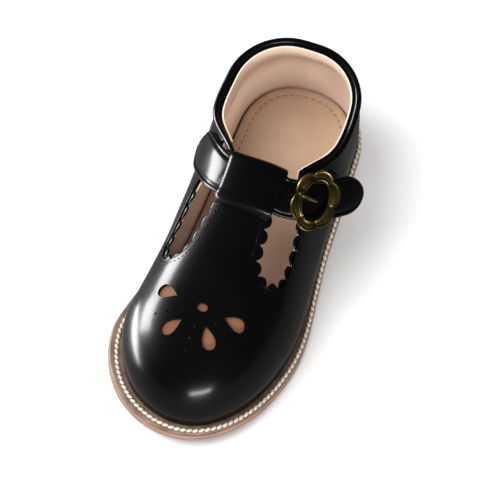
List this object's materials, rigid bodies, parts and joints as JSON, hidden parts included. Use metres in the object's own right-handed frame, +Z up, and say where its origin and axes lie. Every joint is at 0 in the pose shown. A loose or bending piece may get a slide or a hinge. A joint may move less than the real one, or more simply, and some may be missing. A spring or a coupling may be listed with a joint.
{
  "type": "t strap shoe",
  "caption": "Left child's T strap shoe with a round toe, scalloped side openings, punched teardrops, a strap loop, a flower buckle and a low heel.",
  "frame": {"origin": "centre of the bounding box at the ground", "axes": "+Z up from the ground, -Y to the toe, +X to the outer side of the left foot"},
  "size_m": [0.0716, 0.146, 0.0561],
  "materials": {
    "upper": "glossy black",
    "outsole": "matte brown",
    "welt": "satin brown",
    "insole": "soft beige",
    "metal": "antique"
  },
  "bodies": {
    "root": {"outsole": "outsole", "welt": "welt", "insole": "insole", "upper": "upper", "cross_strap": "upper", "strap_loop": "upper", "buckle_frame": "metal", "buckle_prong": "metal", "buckle_tab": "upper"}
  },
  "joints": []
}
